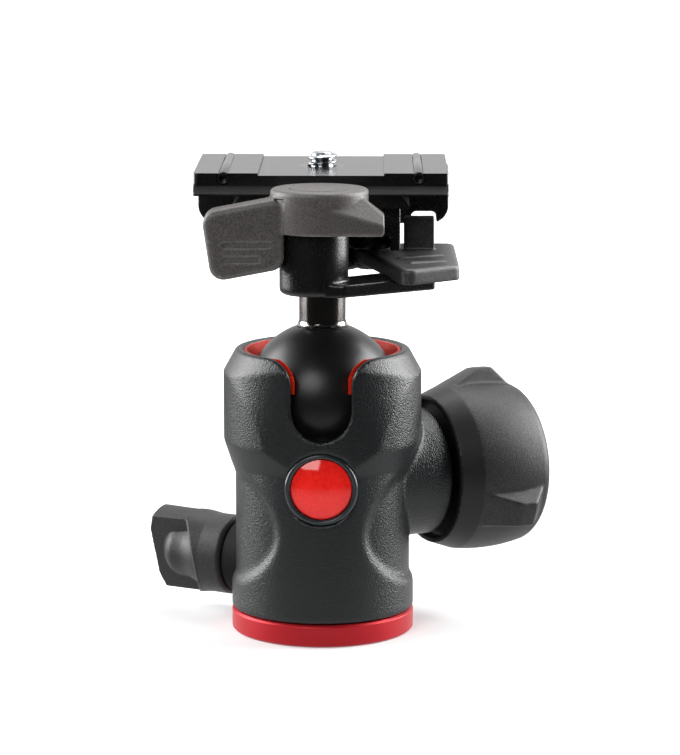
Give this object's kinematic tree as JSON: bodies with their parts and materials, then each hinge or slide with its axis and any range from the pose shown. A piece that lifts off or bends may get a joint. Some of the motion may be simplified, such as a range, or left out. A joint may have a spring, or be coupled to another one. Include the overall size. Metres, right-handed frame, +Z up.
{
  "type": "tripod ball head",
  "caption": "ball head for a camera tripod with a drop notch, a large locking knob, a small pan knob and a lever clamp that holds a dovetail camera plate",
  "frame": {"origin": "centre of the base's mounting face, at the mouth of the tripod thread", "axes": "+Z is up, out of the base and along the camera screw; -Y is the front, with the notch, the badge and the clamp's lever; +X is the right side, with the ball-lock knob"},
  "size_m": [0.0897, 0.0782, 0.1054],
  "materials": {
    "red_disc": "satin red anodised aluminium with fine turned lines",
    "spindle_steel": "turned steel",
    "screw_steel": "zinc plated steel",
    "housing_black": "black powder coat with a fine leather-like grain",
    "bearing_bronze": "plain bearing bronze",
    "slide_plastic": "natural white bearing plastic",
    "collar_red": "satin red acetal",
    "badge_rim": "dark satin ring",
    "badge_red": "clear glossy red resin dome",
    "knob_black": "black plastic with a fine grain",
    "collar_dark": "smooth black plastic",
    "ball_black": "matt black coated aluminium",
    "neck_steel": "polished steel with a dark tint",
    "clamp_black": "smooth glossy black coat",
    "lever_grey": "warm grey plastic with a fine grain",
    "catch_black": "black plastic with a fine grain",
    "plate_black": "black anodised aluminium with bare-looking worn top",
    "cord_rubber": "black rubber cord",
    "bright_steel": "bright plated steel thread"
  },
  "bodies": {
    "base": {"base_disc": "red_disc", "pan_spindle": "spindle_steel", "base_screws": "screw_steel", "retaining_ring": "spindle_steel"},
    "housing": {"housing": "housing_black", "pan_bush": "bearing_bronze", "thrust_washer": "slide_plastic", "floor_plate": "spindle_steel", "pressure_cup": "slide_plastic", "cup_springs": "spindle_steel", "ball_collar": "collar_red", "badge_bezel": "badge_rim", "badge": "badge_red", "lock_bush": "bearing_bronze", "lock_washer": "slide_plastic", "pan_insert": "bearing_bronze", "pan_collar": "collar_dark"},
    "lock_knob": {"lock_screw": "spindle_steel", "lock_knob_core": "collar_dark", "lock_knob_grip": "knob_black", "lock_knob_cap": "collar_dark"},
    "wedge": {"lock_wedge": "spindle_steel"},
    "pan_knob": {"pan_screw": "spindle_steel", "pan_knob_grip": "knob_black"},
    "brake_pad": {"pan_brake_pad": "slide_plastic"},
    "ball": {"ball": "ball_black"},
    "neck": {"neck": "neck_steel", "neck_bolt": "screw_steel", "bolt_washer": "screw_steel"},
    "clamp": {"receiver": "clamp_black", "lever_pivot": "screw_steel", "catch_pin": "screw_steel", "catch_spring": "spindle_steel", "trigger_spring": "spindle_steel"},
    "lever": {"lever": "lever_grey", "lever_cam": "spindle_steel", "lever_disc": "lever_grey"},
    "catch": {"safety_catch": "catch_black"},
    "trigger": {"trigger_pin": "screw_steel"},
    "plate": {"plate": "plate_black", "rubber_strips": "cord_rubber", "screw_ring": "cord_rubber"},
    "camera_screw": {"camera_screw": "bright_steel"}
  },
  "joints": [
    {"name": "pan_turn", "type": "hinge", "parent": "base", "child": "housing", "pos_m": [0, 0, 0.01], "axis": [0, 0, 1], "continuous": true},
    {"name": "lock_turn", "type": "hinge", "parent": "housing", "child": "lock_knob", "pos_m": [0.03119, 0.01589, 0.033], "axis": [-0.891, -0.454, 0], "range_deg": [0, 300]},
    {"name": "wedge_slide", "type": "slide", "parent": "housing", "child": "wedge", "axis": [-0.891, -0.454, 0], "range_m": [0, 0.00084]},
    {"name": "pan_lock_turn", "type": "hinge", "parent": "housing", "child": "pan_knob", "pos_m": [-0.02598, 0.015, 0.0134], "axis": [0.866, -0.5, 0], "range_deg": [0, 180]},
    {"name": "pad_slide", "type": "slide", "parent": "housing", "child": "brake_pad", "axis": [0.866, -0.5, 0], "range_m": [0, 0.00051]},
    {"name": "ball_side_tilt", "type": "hinge", "parent": "housing", "child": "ball", "pos_m": [0, 0, 0.0515], "axis": [0, 1, 0], "range_deg": [-29, 29]},
    {"name": "ball_front_tilt", "type": "hinge", "parent": "ball", "child": "neck", "pos_m": [0, 0, 0.0515], "axis": [1, 0, 0], "range_deg": [-29, 90]},
    {"name": "ball_spin", "type": "hinge", "parent": "neck", "child": "clamp", "pos_m": [0, 0, 0.084], "axis": [0, 0, 1], "continuous": true},
    {"name": "lever_turn", "type": "hinge", "parent": "clamp", "child": "lever", "pos_m": [-0.0013, -0.031, 0.095], "axis": [0, 0, 1], "range_deg": [0, 60]},
    {"name": "catch_turn", "type": "hinge", "parent": "clamp", "child": "catch", "pos_m": [0.0106, -0.0066, 0.0835], "axis": [0, 0, 1], "range_deg": [0, 15], "stiffness_Nm_per_rad": 0.02, "springref_deg": -22.92},
    {"name": "trigger_press", "type": "slide", "parent": "clamp", "child": "trigger", "axis": [0, 0, 1], "range_m": [-0.0008, 0], "stiffness_N_per_m": 300, "springref_m": 0.002},
    {"name": "plate_slide", "type": "slide", "parent": "clamp", "child": "plate", "axis": [1, 0, 0], "range_m": [0, 0.06]},
    {"name": "screw_turn", "type": "hinge", "parent": "plate", "child": "camera_screw", "pos_m": [0, 0, 0.1], "axis": [0, 0, 1], "continuous": true}
  ],
  "couplings": [
    {"joint": "wedge_slide", "follows": "lock_turn", "m_per_rad": 0.00015915},
    {"joint": "pad_slide", "follows": "pan_lock_turn", "m_per_rad": 0.00015915}
  ]
}
